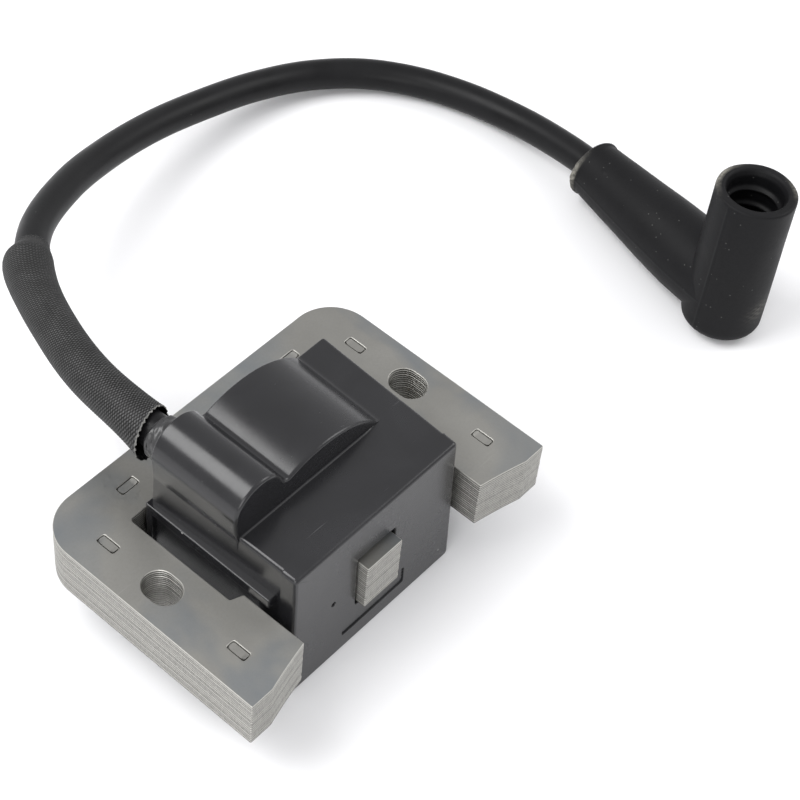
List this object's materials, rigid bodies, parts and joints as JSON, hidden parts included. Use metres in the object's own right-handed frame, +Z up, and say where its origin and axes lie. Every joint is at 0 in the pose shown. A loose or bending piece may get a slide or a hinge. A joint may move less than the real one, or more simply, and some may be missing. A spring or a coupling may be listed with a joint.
{
  "type": "ignition coil",
  "caption": "Magneto ignition coil: laminated E armature, potted black housing with lead tower, sleeved high-tension lead and right-angle rubber plug boot.",
  "frame": {"origin": "on the standing surface, under the middle of the armature's bounding box", "axes": "+Z up out of the housing's closed face, +X across the armature's two bolt legs, +Y from the pole faces to the yoke, the way the lead leaves the tower"},
  "size_m": [0.1666, 0.1294, 0.046],
  "materials": {
    "steel": "bare punched sheet, satin",
    "moulded_black": "moulded, semi-gloss",
    "resin": "cast, satin",
    "bobbin_plastic": "moulded",
    "copper_wire": "enamelled wire",
    "board": "solder mask",
    "film": "dipped film",
    "part_black": "moulded",
    "brass": "bright",
    "tinned": "tinned",
    "sealant": "cured sealant",
    "lead_rubber": "satin",
    "braid": "woven sleeve",
    "boot_rubber": "matte"
  },
  "bodies": {
    "coil": {"lamination_01": "steel", "lamination_02": "steel", "lamination_03": "steel", "lamination_04": "steel", "lamination_05": "steel", "lamination_06": "steel", "lamination_07": "steel", "lamination_08": "steel", "lamination_09": "steel", "lamination_10": "steel", "lamination_11": "steel", "lamination_12": "steel", "lamination_13": "steel", "lamination_14": "steel", "lamination_15": "steel", "lamination_16": "steel", "lamination_17": "steel", "lamination_18": "steel", "lamination_19": "steel", "lamination_20": "steel", "coil_housing": "moulded_black", "potting_resin": "resin", "primary_bobbin": "bobbin_plastic", "secondary_bobbin": "bobbin_plastic", "primary_winding": "copper_wire", "secondary_winding_1": "copper_wire", "secondary_winding_2": "copper_wire", "secondary_winding_3": "copper_wire", "circuit_board": "board", "capacitor": "film", "switching_transistor": "part_black", "trigger_chip": "part_black", "diode": "part_black", "resistor": "part_black", "tower_terminal": "brass", "kill_terminal": "brass", "earth_strap": "tinned", "lead_seal": "sealant", "lead_core": "copper_wire", "ht_lead": "lead_rubber", "lead_sleeve": "braid"},
    "boot": {"plug_boot": "boot_rubber", "plug_clip": "tinned"}
  },
  "joints": [
    {"name": "boot_swivel", "type": "hinge", "parent": "coil", "child": "boot", "pos_m": [0.12033, 0.02053, 0.00752], "axis": [0.2128, 0.9762, -0.0419], "range_deg": [-90, 90]}
  ]
}
